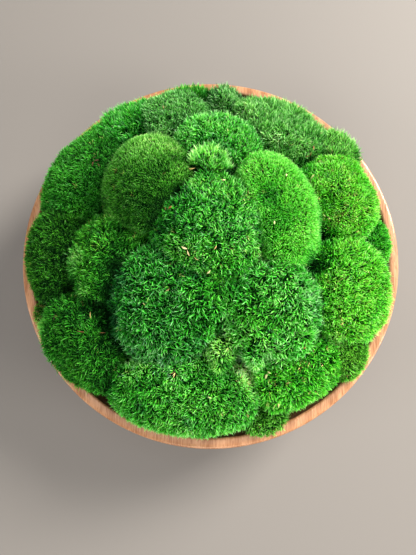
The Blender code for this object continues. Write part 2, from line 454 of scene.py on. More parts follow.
class Growth(Enum):
    """The ways in which the cushions of this clump grow."""

    # Leaves, length, width, spread, curl, spacing, splay, swirl, lump and sickle.
    VELVET = ShootStyle(5, 4.6, 0.54, (6, 42), 12, 1.04, 0.16, 0.10, 0.4, 0.3)
    CURLY = ShootStyle(5, 6.4, 0.72, (6, 52), 22, 1.34, 0.34, 0.32, 1.2, 0.7)
    COARSE = ShootStyle(5, 8.4, 0.88, (7, 56), 28, 1.66, 0.46, 0.46, 1.5, 1.0)
    BLADES = ShootStyle(6, 8.8, 0.70, (4, 34), 18, 1.44, 0.26, 0.30, 1.6, 0.5)
    BUNCHED = ShootStyle(6, 8.8, 0.76, (4, 34), 18, 1.44, 0.22, 0.75, 2.4, 0.5)
    DENSE = ShootStyle(5, 5.4, 0.62, (6, 48), 20, 1.18, 0.26, 0.24, 1.4, 0.5)


def grown(low: float, rise: float) -> float:
    """Return a share that is low for the lowest leaf of a shoot, and 1 for the highest."""
    return low + (1 - low) * rise


class ShootKit:
    """The few shoots of one growth that are strewn over the cushions."""

    VARIANTS = 10
    # The stem's height as a share of a leaf's length, and where along it a leaf bends.
    STEM = 0.18
    KNEE = 0.45
    # What the lowest leaf has of the highest one's length, width and light, a painted shade that keeps the
    # lower leaves darker, and what the lower half of a leaf has of its lean, at which place.
    LOW_LENGTH = 0.86
    LOW_WIDTH = 1.35
    LOW_LIGHT = 0.6
    LOW_LEAN = 0.85
    LOW_PLACE = 0.4
    # How leaves differ: sweep, lean in degrees, shares of curl, length and light, twist, turn round the
    # stem, tone, the steps in tone that a leaf may take away from its shoot, and the tone across a leaf.
    SWEEPS = (0.1, 0.6)
    LEANS = (-8, 8)
    CURLS = (-0.2, 1.5)
    LENGTHS = (0.72, 1.05)
    LIGHTS = (0.78, 1.04)
    TWISTS = (-0.7, 0.7)
    TURNS = (-0.3, 0.3)
    TONE_SPREAD = 0.05
    ODD_TONES = (0.0, 0.0, 0.0, 0.0, -0.15, 0.18)
    TONE_ACROSS = 0.014

    def __init__(self, growth: Growth) -> None:
        """Make the shoots and keep them in a collection outside the scene."""
        self.style = growth.value
        self.collection = bpy.data.collections.new("shoots_" + growth.name.lower())
        for number in range(self.VARIANTS):
            mesh = self.build_shoot(random.Random(f"{growth.name} {number}"))
            mesh.name = f"shoot_{growth.name.lower()}_{number}"
            self.collection.objects.link(bpy.data.objects.new(mesh.name, mesh))
        tops = [max(v.co.z for v in obj.data.vertices) for obj in self.collection.objects]
        self.height_mm = sum(tops) / len(tops) / MM

    def build_shoot(self, rng: random.Random) -> Mesh:
        """Make one shoot: leaves in a spiral round a stem that stands on the origin.

        Args:
            rng: Where the shoot's own variation comes from.

        Returns:
            The shoot, one ribbon for each leaf, with the tone and length of each leaf in its UV map, the
            length shortened on the lower leaves as painted shade.
        """
        bm = bmesh.new()
        layer = bm.loops.layers.uv.new(BAKED_UV)
        turn = rng.uniform(0, math.tau)
        sweep = rng.choice((-1, 1)) * rng.uniform(*self.SWEEPS)
        for index in range(self.style.leaves):
            heading = turn + index * GOLDEN_ANGLE + rng.uniform(*self.TURNS)
            rise = index / max(1, self.style.leaves - 1)
            self.add_leaf(bm, layer, heading, rise, sweep, rng)
        return finished(bm)

    def add_leaf(
        self, bm: bmesh.types.BMesh, layer: bmesh.types.BMLayerItem,
        heading: float, rise: float, sweep: float, rng: random.Random,
    ) -> None:
        """Add one curved, tapering leaf.

        Args:
            bm: The shoot.
            layer: Its UV map.
            heading: The direction in which the leaf leaves the stem, in radians.
            rise: How high on the stem it starts, from 0 to 1. High leaves stand steeper.
            sweep: How far the leaf turns sideways on its way, in radians.
            rng: Where the leaf's own variation comes from.
        """
        style = self.style
        steep, wide = style.spread
        lean = math.radians(wide + (steep - wide) * rise + rng.uniform(*self.LEANS))
        curl = math.radians(style.curl * rng.uniform(*self.CURLS))
        length = style.length * rng.uniform(*self.LENGTHS) * grown(self.LOW_LENGTH, rise)
        foot = Vector((0, 0, style.length * self.STEM * rise))
        twist = rng.uniform(*self.TWISTS)
        width = style.width * grown(self.LOW_WIDTH, rise)
        tone = rng.gauss(0.0, self.TONE_SPREAD) + rng.choice(self.ODD_TONES)
        # Painted shade: the lower leaves reach less far along the colours, so they stay darker.
        light = grown(self.LOW_LIGHT, rise) * rng.uniform(*self.LIGHTS)
        low_way = self.leaf_way(heading, lean * self.LOW_LEAN, sweep, curl, self.LOW_PLACE)
        middle = foot + low_way * length * self.KNEE
        tip = middle + self.leaf_way(heading, lean, sweep, curl, 1.0) * length * (1 - self.KNEE)
        outward = Vector((math.cos(heading + sweep / 2), math.sin(heading + sweep / 2), 0))
        along = (tip - foot).normalized()
        across = along.cross(outward).normalized()
        half = (across * math.cos(twist) + along.cross(across) * math.sin(twist)) * width / 2
        corners = [(foot, 0.5, 0.0), (middle + half, 1, 0.5), (tip, 0.5, 1.0), (middle - half, 0, 0.5)]
        verts = [bm.verts.new(corner[0] * MM) for corner in corners]
        for pick in ((0, 1, 3), (3, 1, 2)):
            face = bm.faces.new([verts[index] for index in pick])
            for loop, index in zip(face.loops, pick):
                _, side, along_leaf = corners[index]
                loop[layer].uv = (tone + self.TONE_ACROSS * side, along_leaf * light)

    def leaf_way(self, heading: float, lean: float, sweep: float, curl: float, t: float) -> Vector:
        """Return the way a leaf runs at t, from 0 at its foot to 1 at its tip."""
        angle = heading + sweep * t
        tilt = lean + curl * t
        way = Vector((math.cos(angle) * math.sin(tilt), math.sin(angle) * math.sin(tilt), math.cos(tilt)))
        return (way + Vector((self.style.sickle * t * t, 0, 0))).normalized()

    def clear(self) -> None:
        """Remove the loose shoots once every cushion has its own."""
        for obj in list(self.collection.objects):
            mesh = obj.data
            bpy.data.objects.remove(obj)
            bpy.data.meshes.remove(mesh)
        bpy.data.collections.remove(self.collection)


class ShootTree:
    """The geometry tree that grows shoots on a cushion's bed."""

    INPUTS = (
        ("Bed", "Geometry", None), ("Shoots", "Collection", None), ("Leaves", "Material", None),
        ("Comb", "Vector", None), ("Seed", "Int", None), ("Spacing", "Float", 2.0 * MM),
        ("Size Low", "Float", 0.76), ("Size High", "Float", 1.16), ("Splay", "Float", 0.3),
        ("Swirl", "Float", 0.3), ("Wander", "Float", 1.1), ("Swirl Span", "Float", 14 * MM),
        ("Tone", "Float", 0.5), ("Tone Patch", "Float", 0.3), ("Patch Span", "Float", 16 * MM),
        ("Tone Spread", "Float", 0.1), ("Straw Share", "Float", 0.02), ("Cold Share", "Float", 0.04),
        ("Shading", "Float", 0.08),
    )
    # A noise patch stays near its middle, so it is enlarged for the shoots' swirl and their turn.
    SWIRL_GAIN = 4.0
    TURN_GAIN = 4 * math.tau
    # The open sky a shoot needs, and how crowded the points are at first.
    ROOM = (0.06, 0.2)
    CROWDING = 1.6
    # Where there is little open sky shoots are smaller, and painted shade makes them dimmer and colder: the
    # ends and the factors.
    STUNTED = ((0.05, 0.4), (0.85, 1.0))
    PAINTED_DIMMING = ((0.05, 0.5), (0.8, 1.0))
    PAINTED_SHADE_SKY = (0.35, 0.85)
    # How much paleness a shoot may have of its own, the limits of its tone, and the tones of odd ones.
    PALENESS = (0.2, 1.8)
    TONE_ENDS = (0.1, 0.78)
    ODD_ONES = (("Straw Share", 0.94), ("Cold Share", 0.07))

    def __init__(self) -> None:
        """Build the tree, and remember the identifier of each of its inputs."""
        self.tree = bpy.data.node_groups.new("grow_shoots", "GeometryNodeTree")
        self.ids: dict[str, str] = {}
        for name, kind, default in self.INPUTS:
            socket = self.tree.interface.new_socket(name, in_out="INPUT", socket_type="NodeSocket" + kind)
            if default is not None:
                socket.default_value = default
            self.ids[name] = socket.identifier
        self.tree.interface.new_socket("Moss", in_out="OUTPUT", socket_type="NodeSocketGeometry")
        self.build()

    def named(self, name: str, kind: str = "FLOAT") -> Socket:
        """Return a named attribute of the geometry."""
        return add_node(self.tree, "GeometryNodeInputNamedAttribute", {"data_type": kind},
                        {0: name}).outputs[0]

    def stored(
        self, geometry: Socket, name: str, value: Socket, domain: str = "INSTANCE", kind: str = "FLOAT"
    ) -> Socket:
        """Return geometry with a value stored on it as a named attribute."""
        return add_node(self.tree, "GeometryNodeStoreNamedAttribute", {"data_type": kind, "domain": domain},
                        {0: geometry, 2: name, 3: value}).outputs[0]

    def vector(self, operation: str, first: Socket, second: object) -> Socket:
        """Return what a vector math node makes of a vector and a second one, or a factor to scale it."""
        return add_node(self.tree, "ShaderNodeVectorMath", {"operation": operation},
                        {0: first, 3 if operation == "SCALE" else 1: second}).outputs[0]

    def random_number(self, given: NodeOutputs, number: int, low: object, high: object) -> Socket:
        """Return a random number for each point, of a series of its own."""
        seed = calc(self.tree, "ADD", given["Seed"], float(number))
        return add_node(self.tree, "FunctionNodeRandomValue", {"data_type": "FLOAT"},
                        {2: low, 3: high, 8: seed}).outputs[1]

    def patches(self, place: Socket, span: Socket, detail: float) -> NodeOutputs:
        """Return a number and a colour that change from patch to patch of a size."""
        return noise_nodes(self.tree, place, calc(self.tree, "DIVIDE", 1.0, span), Detail=detail)

    def build(self) -> None:
        """Add the nodes: points on the open parts of the bed, a shoot on each, its tone, one mesh."""
        tree = self.tree
        given = add_node(tree, "NodeGroupInput").outputs
        open_sky = self.named("open")
        packed = calc(tree, "MULTIPLY", given["Spacing"], given["Spacing"])
        points = add_node(
            tree, "GeometryNodeDistributePointsOnFaces", {"distribute_method": "POISSON"},
            {"Mesh": given["Bed"], "Distance Min": given["Spacing"],
             "Density Max": calc(tree, "DIVIDE", self.CROWDING, packed),
             "Density Factor": ranged(tree, open_sky, self.ROOM, (0.0, 1.0)), "Seed": given["Seed"]})
        place = add_node(tree, "GeometryNodeInputPosition").outputs[0]
        shoots = add_node(tree, "GeometryNodeCollectionInfo", None,
                          {0: given["Shoots"], "Separate Children": True, "Reset Children": True})
        pick = add_node(tree, "FunctionNodeRandomValue", {"data_type": "INT"},
                        {4: 0, 5: ShootKit.VARIANTS - 1, 8: given["Seed"]})
        size = self.random_number(given, 12, given["Size Low"], given["Size High"])
        stunted = ranged(tree, open_sky, *self.STUNTED)
        planted = add_node(
            tree, "GeometryNodeInstanceOnPoints", None,
            {"Points": points.outputs[0], "Instance": shoots.outputs[0], "Pick Instance": True,
             "Instance Index": pick.outputs[2], "Rotation": self.shoot_pose(given, place),
             "Scale": calc(tree, "MULTIPLY", size, stunted)}).outputs[0]
        toned = self.stored(planted, "tone", self.shoot_tone(given, place, open_sky))
        # Painted shade: where there is little open sky, less of each leaf reaches its pale colours.
        painted_light = ranged(tree, open_sky, *self.PAINTED_DIMMING)
        own = self.random_number(given, 15, *self.PALENESS)
        reached = self.stored(toned, "reach", calc(tree, "MULTIPLY_ADD", own, self.named("pale"), painted_light))
        both = add_node(tree, "GeometryNodeJoinGeometry")
        tree.links.new(given["Bed"], both.inputs[0])
        tree.links.new(reached, both.inputs[0])
        solid = add_node(tree, "GeometryNodeRealizeInstances", None, {0: both.outputs[0]}).outputs[0]
        mapped = self.stored(solid, BAKED_UV, self.colour_place(), "CORNER", "FLOAT2")
        dressed = add_node(tree, "GeometryNodeSetMaterial", None, {0: mapped, 2: given["Leaves"]})
        add_node(tree, "NodeGroupOutput", None, {0: dressed.outputs[0]})

    def shoot_pose(self, given: NodeOutputs, place: Socket) -> Socket:
        """Return how each shoot stands. Neighbours sweep their leaves nearly the same way, by patches."""
        tree = self.tree
        patch = self.patches(place, given["Swirl Span"], 1.0)[0]
        wander = calc(tree, "MULTIPLY", self.random_number(given, 11, -1.0, 1.0), given["Wander"])
        spin = calc(tree, "MULTIPLY_ADD", patch, self.TURN_GAIN, wander)
        turned = add_node(tree, "ShaderNodeCombineXYZ", None, {2: spin}).outputs[0]
        turn = add_node(tree, "FunctionNodeEulerToRotation", None, {0: turned}).outputs[0]
        upright = add_node(tree, "FunctionNodeAlignRotationToVector", {"axis": "Z"},
                           {"Vector": self.shoot_way(given, place)}).outputs[0]
        return add_node(tree, "FunctionNodeRotateRotation", {"rotation_space": "LOCAL"},
                        {0: upright, 1: turn}).outputs[0]

    def shoot_way(self, given: NodeOutputs, place: Socket) -> Socket:
        """Return the way each shoot points: outwards, combed, swirled in patches and a little splayed."""
        patch = self.vector("SUBTRACT", self.patches(place, given["Swirl Span"], 1.0)[1], (0.5, 0.5, 0.5))
        swirl = self.vector("SCALE", patch, calc(self.tree, "MULTIPLY", given["Swirl"], self.SWIRL_GAIN))
        jitter = add_node(self.tree, "FunctionNodeRandomValue", {"data_type": "FLOAT_VECTOR"},
                          {0: (-1, -1, -1), 1: (1, 1, 1), 8: given["Seed"]}).outputs[0]
        total = self.named("grow", "FLOAT_VECTOR")
        for extra in (swirl, self.vector("SCALE", jitter, given["Splay"]), given["Comb"]):
            total = self.vector("ADD", total, extra)
        return total

    def shoot_tone(self, given: NodeOutputs, place: Socket, open_sky: Socket) -> Socket:
        """Return each shoot's place along the colours: patches, its own share, a painted shade where there
        is little open sky, the spots' shift, and a few odd ones.
        """
        tree = self.tree
        patch = calc(tree, "SUBTRACT", self.patches(place, given["Patch Span"], 2.0)[0], 0.5)
        tone = calc(tree, "MULTIPLY_ADD", patch, given["Tone Patch"], given["Tone"])
        own = self.random_number(given, 13, -1.0, 1.0)
        tone = calc(tree, "MULTIPLY_ADD", own, given["Tone Spread"], tone)
        # Painted shade: little open sky moves the tone towards the cold, dark end.
        painted_crease_shade = ranged(tree, open_sky, self.PAINTED_SHADE_SKY, (given["Shading"], 0.0))
        tone = calc(tree, "ADD", calc(tree, "SUBTRACT", tone, painted_crease_shade), self.named("shift"))
        low, high = self.TONE_ENDS
        tone = add_node(tree, "ShaderNodeClamp", None, {0: tone, 1: low, 2: high}).outputs[0]
        odd = self.random_number(given, 14, 0.0, 1.0)
        for share, value in self.ODD_ONES:
            chosen = calc(tree, "LESS_THAN", odd, given[share])
            tone = add_node(tree, "ShaderNodeMix", {"data_type": "FLOAT"},
                            {0: chosen, 2: tone, 3: value}).outputs[0]
            odd = calc(tree, "SUBTRACT", 1.0, odd)
        return tone

    def colour_place(self) -> Socket:
        """Return the place of each corner on the colour map, from the leaf's own map and its shoot."""
        local = self.named(BAKED_UV, "FLOAT_VECTOR")
        axes = add_node(self.tree, "ShaderNodeSeparateXYZ", None, {0: local}).outputs
        across = calc(self.tree, "ADD", axes[0], self.named("tone"), use_clamp=True)
        along = calc(self.tree, "MULTIPLY", axes[1], self.named("reach"), use_clamp=True)
        return add_node(self.tree, "ShaderNodeCombineXYZ", None, {0: across, 1: along}).outputs[0]


# ------------ cushions


class Crowd:
    """All the solids of the frame, for asking what stands near a point of a cushion."""

    def __init__(self, nodes: dict[str, Object]) -> None:
        """Keep each solid's corners and triangles."""
        self.shapes = {}
        for name, obj in nodes.items():
            corners = [tuple(v.co) for v in obj.data.vertices]
            self.shapes[name] = (corners, [tuple(p.vertices) for p in obj.data.polygons])

    def tree(self, without: str | None = None, only: str = "") -> BVHTree:
        """Return a search tree of the solids whose names start with only, except one."""
        corners, faces = [], []
        for name, (points, triangles) in self.shapes.items():
            if name != without and name.startswith(only):
                shift = len(corners)
                corners += points
                faces += [tuple(index + shift for index in face) for face in triangles]
        return BVHTree.FromPolygons(corners, faces)


@dataclass(frozen=True)
class Spot:
    """A place where the moss differs, seen from above, in mm.

    tone moves the moss along its colours, and pale brings out its tips; both carry the moss's own patches
    and also painted light and shade. hollow, up to 1, thins it out and darkens it with painted shade, and
    under 0 fills it up and brightens it. lift raises its bed in mm, or lowers it. In the table tone, pale
    and hollow are in percent.
    """

    x: float
    y: float
    radius: float
    tone: float = 0.0
    pale: float = 0.0
    hollow_shade: float = 0.0
    lift: float = 0.0

    def weights(self, places: np.ndarray) -> np.ndarray:
        """Return how much of the spot each point gets, less and less towards its edge."""
        apart = np.hypot(places[:, 0] / MM - self.x, places[:, 1] / MM - self.y) / self.radius
        return np.clip(1 - apart**2, 0, 1) ** 1.5


def lifts(places: np.ndarray) -> np.ndarray:
    """Return how far, in mm, the beds are raised at each place by all the spots."""
    return sum(spot.lift * spot.weights(places) for spot in SPOTS)


# Spots of the moss: tone and pale are partly its own patches and partly painted light and shade, and hollow
# paints shade into joints and dips.
SPOTS = tuple(Spot(*row[:3], *(part / 100 for part in row[3:6]), *row[6:]) for row in (
    (-27, 10, 25, -30, -22), (-37, -4, 13, -25, -22, 30, -4), (-14, -8, 12, -18), (2, 12, 9, -20),
    (10, -36, 16, -8, -20), (24, -30, 12, 0, -15), (3, -57, 22, 24, -10, -60, 9),
    (-13, -54, 14, 14, 5, -50, 6), (3, -45, 13, 12, -10, -60, 6), (19, -50, 13, -25, -25, 0, 1),
    (35, -41, 11, -8, -15), (18, -6, 18, -12, 18), (45, -4, 13, -8, -16), (36, -74, 26, 10, -22),
    (-6, -74, 13, 4, -15), (-25, 25, 8, -30, -30, 85, -6), (11, 45, 8, -20, -10, 60),
    (-24, 42, 13, 25, 30, -50, 5), (-14, 46, 10, 10, 10, -80, 7), (-8, 51, 5, -30, -30, 75, -3),
    (5, 53, 5, -30, -30, 75, -3), (-3, 41, 9, -14, -14, 0, 2), (-26, 63, 9, 15, 25, -30, 2),
    (30, 23, 10, 15, 20, -50, 3), (33, 9, 11, 8, 20), (34, -20, 9, 10, 10, -40, 2),
    (46, 21, 12, -20, -20, 70, -3), (38, 26, 20, -8, -15), (64, -5, 13, 5, 10), (74, 52, 14, -10, -15),
    (-49, 74, 34, 24, 40), (-68, 80, 12, -10, -20), (-16, 31, 10, 8, 15), (-32, 28, 16, 10),
    (-86, 38, 20, 10, 2), (-90, 30, 10, -15, -10), (-31, 56, 4, -40, 10), (-33, 66, 11, 25, 30),
    (-37, 27, 11, 12, 10, -50, 3), (24, 70, 12, 10, 10), (-117, 23, 13, 14, 12), (-21, -156, 13, 12, 15),
    (23, -119, 13, 20, 25, -40, 6), (-24, -126, 11, -8, -10), (-67, -38, 12, -16, -20, 20),
    (-69, -60, 11, -10, -15), (46, 64, 24, -2, 2), (56, 5, 15, -15, -15), (78, 0, 18, 4, 8),
    (3, 104, 30, 0, 10), (9, 130, 12, 12, 25), (-5, 69, 14, -12, -15), (58, 91, 13, 20, 30, -50, 4),
    (87, 62, 13, -22, -20, 0, 2), (36, 118, 14, 15, 15, -30, 3), (98, 84, 12, 0, 0, -60, 4),
    (70, 116, 22, 2, 12), (80, 84, 14, 15, 20, -50, 4), (17, 137, 15, 25, 35, -50, 5),
    (-42, -99, 15, 0, 30, 10), (-29, -114, 12, 0, 34), (-9, -100, 12, 12, 20, -30, 2),
    (-61, -108, 13, 12, 34, -20, 3), (-112, -20, 15, 2, 72), (-113, -38, 8, -15, -50, 30),
    (-103, -46, 9, 0, 50), (-98, -59, 12, -25, -35, 40, -4), (-88, -8, 16, 12),
    (-84, 12, 12, 20, 20, -40, 4), (-58, -6, 11, 15, 15, -60, 7), (-76, -28, 11, -30, -35, 65, -6),
    (-79, -44, 12, -30, -35, 65, -8), (-82, -61, 13, -30, -35, 65, -9), (-80, -73, 14, -35, -40, 70, -9),
    (-77, -89, 9, -30, -35, 60, -5), (-82, -121, 12, -20, -25, 50, -4), (-83, -131, 10, -15, -15, 30, -2),
    (-92, -141, 14, 0, 0, 90, -9), (-82, -150, 11, 0, 0, 80, -6), (-74, -101, 9, 25, 15, 0, 3),
    (-54, -134, 22, -12, -18), (89, -27, 15, -24, -27, 40, -8), (83, -29, 15, -28, -30, 30, -5),
    (80, -18, 11, -12, -20), (97, -3, 18, -22, -24, 10, -2), (81, -67, 10, -20, -25, 30, -2),
    (91, -52, 11, -10, -15, 30, -4), (97, 4, 12, -20, -25, 40, -5), (92, 14, 11, -18, -20, 20, -1),
    (99, 30, 14, -12, -15, 30, -3), (88, -74, 10, -10, -12, 30, -3), (76, -57, 17, -10, 35),
    (60, -43, 10, 6, 15), (46, -96, 13, 0, 22), (67, -98, 11, -10, -18), (26, -60, 16, -10, -12, 45),
    (20, -78, 8, 0, 0, 50), (6, -88, 18, 25, 20, -30, 3), (12, -104, 8, -20, -25),
    (28, -111, 15, 36, 60, -80, 20), (32, -129, 11, 20, 20, -50, 5), (71, -118, 14, -12, -15),
    (132, -110, 11, 0, 0, 40, -6), (31, -155, 8, -15), (17, 52, 12, 0, 35), (-99, 67, 9, -10, -20, 60),
    (-150, -74, 13, 25, 60), (-139, -48, 13, -10, -20), (-128, 29, 12, -2, -5), (-138, 36, 9, -14, -10),
    (-127, -3, 11, 10, 5), (-123, -17, 8, -18, -20, 30), (-57, 94, 14, -12, -15, 20, -2),
    (-123, -68, 14, -10, -15), (-128, -114, 20, 0, 0, 0, -10), (-113, -130, 16, 0, 0, 0, -8),
    (104, -86, 12, 10, 40), (112, -80, 6, 0, -10, 60), (-17, -149, 9, -35), (110, -42, 18, 4, 6),
    (101, -24, 14, -8, -14), (138, 12, 15, -10, -10), (128, 60, 14, -8, -10), (103, 55, 17, -4, 22),
    (141, 50, 15, -12, -15, 30, -4), (-128, -8, 40, 3, -10), (-120, -11, 9, -8, -10),
))


@dataclass
class MossCushion:
    """One moss cushion: a dark bed in the shape of its solid, with shoots grown out of it.

    comb leans its shoots one way, and size is their size. tone moves them along the finish's colours, patch
    says how much that changes from place to place, and pale brings out their tips. tone and pale are partly
    the moss's own and partly painted light and shade: higher on the right of the clump, where the light
    falls, and lower on its shaded left. straw and cold are the shares of straw-coloured and of bluish
    shoots. main sets the seed and the slot.
    """

    node: str
    growth: Growth
    finish: MossFinish
    tone: float = 0.5
    comb: tuple[float, float, float] = (0.0, 0.0, 0.15)
    patch: float = 0.5
    size: float = 1.0
    pale: float = 0.0
    straw: float = 0.003
    cold: float = 0.03
    seed: int = 0
    slot: str = ""

    # The smallest and the largest shoot of a cushion, before its own size.
    SIZES = (0.76, 1.16)
    # The bed's mesh: how large its faces are, and how often it is softened.
    BED_MM = 4.0
    SOFTENING = 5
    # How far the bed lies under the solid: a share of the shoots' height, but not more of the cushion's
    # width, and a fixed depth where the solid looks down. STEEP tells how far down that is.
    SUNK = 0.8
    DEEPEST = 0.24
    UNDER_MM = 0.6
    STEEP = 0.3
    # How near a neighbour presses on a cushion, how far the bed rises there, and how it slides down.
    PRESSED_MM = 3.5
    FILL_MM = 2.6
    SLIDE = 0.5
    # The bed's lumps, with spans in mm and shares, its tone, how much that changes and over how many mm,
    # and the dark place of a face's corners on the colour map, the leaves' base colour, partly painted
    # shade.
    LUMPS = ((14, 1.0), (7, 0.4))
    BED_TONE = (0.45, 0.3, 9)
    BED_CORNERS = ((0.0, 0.01), (0.02, 0.01), (0.02, 0.05), (0.0, 0.05))
    # How many rays look for open sky, how low and how far, from what height over the bed, how near a
    # neighbour leaves none, and what a ray counts that is stopped only at its end.
    RAYS = 14
    LOWEST = 0.86
    SKY_MM = 26.0
    SKIN_MM = 0.5
    TOUCH_MM = 2.0
    STOPPED = 0.35

    def sky_directions(self) -> np.ndarray:
        """Return directions spread over the half sphere round +Z, as rows."""
        index = np.arange(self.RAYS) + 0.5
        height = 1 - self.LOWEST * index / self.RAYS
        side = np.sqrt(1 - height**2)
        turn = index * GOLDEN_ANGLE
        return np.stack([side * np.cos(turn), side * np.sin(turn), height], axis=1)

    @staticmethod
    def blur(mesh: Mesh, values: np.ndarray, times: int = 2) -> np.ndarray:
        """Return values evened out between neighbouring points of a mesh."""
        pairs = np.zeros(len(mesh.edges) * 2, np.int32)
        mesh.edges.foreach_get("vertices", pairs)
        pairs = pairs.reshape(-1, 2)
        count = np.bincount(pairs.ravel(), minlength=len(values)) + 1.0
        for _ in range(times):
            total = values.copy()
            np.add.at(total, pairs[:, 0], values[pairs[:, 1]])
            np.add.at(total, pairs[:, 1], values[pairs[:, 0]])
            values = total / count
        return values

    def openness(self, bed: Mesh, others: BVHTree) -> np.ndarray:
        """Measure how much open sky each point of the bed has over it, from 0 in a joint to 1."""
        directions = self.sky_directions()
        reach = self.SKY_MM * MM
        result = np.zeros(len(bed.vertices))
        for number, vert in enumerate(bed.vertices):
            normal = vert.normal.copy()
            start = vert.co + normal * self.SKIN_MM * MM
            if others.ray_cast(start, normal, self.TOUCH_MM * MM)[0] is not None:
                continue
            turn = UP.rotation_difference(normal).to_matrix()
            clear = 0
            for direction in directions:
                hit = others.ray_cast(start, turn @ Vector(direction), reach)
                clear += 1.0 if hit[0] is None else self.STOPPED * hit[3] / reach
            result[number] = clear / self.RAYS
        return self.blur(bed, result)

    def lean_on(self, vert: MeshVertex, others: BVHTree) -> tuple[Vector, float]:
        """Return the way to the nearest neighbour, and how closely the point is pressed on it, 0 to 1."""
        nearest, _, _, distance = others.find_nearest(vert.co)
        if distance < WELD:
            return vert.normal.copy(), 1.0
        way = (nearest - vert.co) / distance
        away = max(0.0, distance / MM - self.PRESSED_MM) / self.PRESSED_MM
        return way, max(0.0, 1.0 - away) if way.dot(vert.normal) > 0 else 0.0

    def sink(self, bed: Mesh, others: BVHTree, height_mm: float) -> None:
        """Lower the bed under the solid's surface by the height of its shoots, with soft lumps.

        Where the cushion is pressed on a neighbour the bed slides down along it, and does not draw back, so
        that the shoots fill the joint. Each point keeps the way in which its shoots grow.

        Args:
            bed: The softened copy of the solid.
            others: The solids round the cushion.
            height_mm: How high the shoots' tips stand over their feet.
        """
        lump_mm = self.growth.value.lump
        # Each cushion has its lumps from another place of the noise.
        shift = Vector((self.seed * 3.7, self.seed * 1.9, 5.0))
        low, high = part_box(self.node)
        places, ways = [], []
        for vert, lift in zip(bed.vertices, lifts(points_of(bed))):
            way, pressed = self.lean_on(vert, others)
            along = vert.normal - way * (pressed * max(0.0, vert.normal.dot(way)))
            upward = UP - way * way.z
            rise = min(1.0, 2.0 * (vert.co.z - low.z) / (high.z - low.z))
            if vert.normal.z < -self.STEEP or upward.length < self.STEEP:
                places.append(vert.co - vert.normal * self.UNDER_MM * MM)
                ways.append(vert.normal)
                continue
            joint = upward.normalized() * (pressed * rise)
            slide = joint * (max(0.0, 1 - along.length) * self.SLIDE * height_mm - self.FILL_MM)
            lump = sum(part * noise.noise(vert.co / (span * MM) + shift) for span, part in self.LUMPS)
            lower = along * (height_mm - lump * lump_mm) + slide - UP * lift
            places.append(vert.co - lower * MM)
            ways.append((along + upward * (1 - along.length)).normalized())
        places, ways = np.array(places), np.array(ways)
        for axis in range(3):
            places[:, axis] = self.blur(bed, places[:, axis])
            ways[:, axis] = self.blur(bed, ways[:, axis])
        bed.vertices.foreach_set("co", places.astype(np.float32).ravel())
        write_values(bed, "grow", ways)
        bed.shade_smooth()

    def mark(self, bed: Mesh, sky: np.ndarray) -> None:
        """Give the bed the attributes that the tree reads, and its own dark place on the colour map, whose
        colour is partly painted shade.
        """
        places = points_of(bed)
        shift, pale = np.zeros(len(sky)), np.full(len(sky), self.pale)
        for spot in SPOTS:
            weights = spot.weights(places)
            shift += spot.tone * weights
            pale += spot.pale * weights
            # Painted shade: a spot's hollow takes open sky away, which dims and cools the shoots there.
            sky = sky * (1 - spot.hollow_shade * weights)
        middle, change, span = self.BED_TONE
        tone = np.array([middle + change * noise.noise(v.co / (span * MM)) for v in bed.vertices])
        marks = {"open": sky, "shift": shift, "pale": pale, "tone": tone, "reach": np.ones(len(sky))}
        for name, values in marks.items():
            write_values(bed, name, values)
        layer = bed.uv_layers.new(name=BAKED_UV)
        for face in bed.polygons:
            for corner, loop in enumerate(face.loop_indices):
                layer.data[loop].uv = self.BED_CORNERS[corner % 4]

    def build(
        self, solid: Object, crowd: Crowd, kit: ShootKit, trees: ShootTree, material: Material
    ) -> None:
        """Make the cushion as one plain mesh.

        Args:
            solid: The cushion's solid in the frame.
            crowd: The solids round it.
            kit: The shoots of its growth.
            trees: The tree that grows them.
            material: The leaves' material.
        """
        bed = even_copy(solid, self.node + "_bed", self.BED_MM, self.SOFTENING)
        sky = self.openness(bed, crowd.tree(without=self.node))
        low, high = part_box(self.node)
        deepest = self.DEEPEST * (min(high.x - low.x, high.y - low.y) / MM)
        depth = min(kit.height_mm * self.SUNK * self.size, deepest)
        self.sink(bed, crowd.tree(without=self.node, only="moss_"), depth)
        self.mark(bed, sky)
        obj = show(bed, self.node + "_bed")
        bed.materials.append(material)
        modifier = obj.modifiers.new("shoots", "NODES")
        modifier.node_group = trees.tree
        style = self.growth.value
        smallest, largest = self.SIZES
        values = {
            "Shoots": kit.collection, "Leaves": material, "Comb": self.comb, "Seed": self.seed,
            "Spacing": style.spacing * MM, "Splay": style.splay, "Swirl": style.swirl,
            "Size Low": smallest * self.size, "Size High": largest * self.size, "Tone": self.tone,
            "Tone Patch": self.patch, "Straw Share": self.straw, "Cold Share": self.cold,
        }
        for name, value in values.items():
            modifier[trees.ids[name]] = value
        mesh = evaluated_mesh(obj)
        for name in ("open", "shift", "pale", "tone", "reach", "grow"):
            mesh.attributes.remove(mesh.attributes[name])
        settle(show(mesh, self.node + "_moss"), self.slot, self.node)
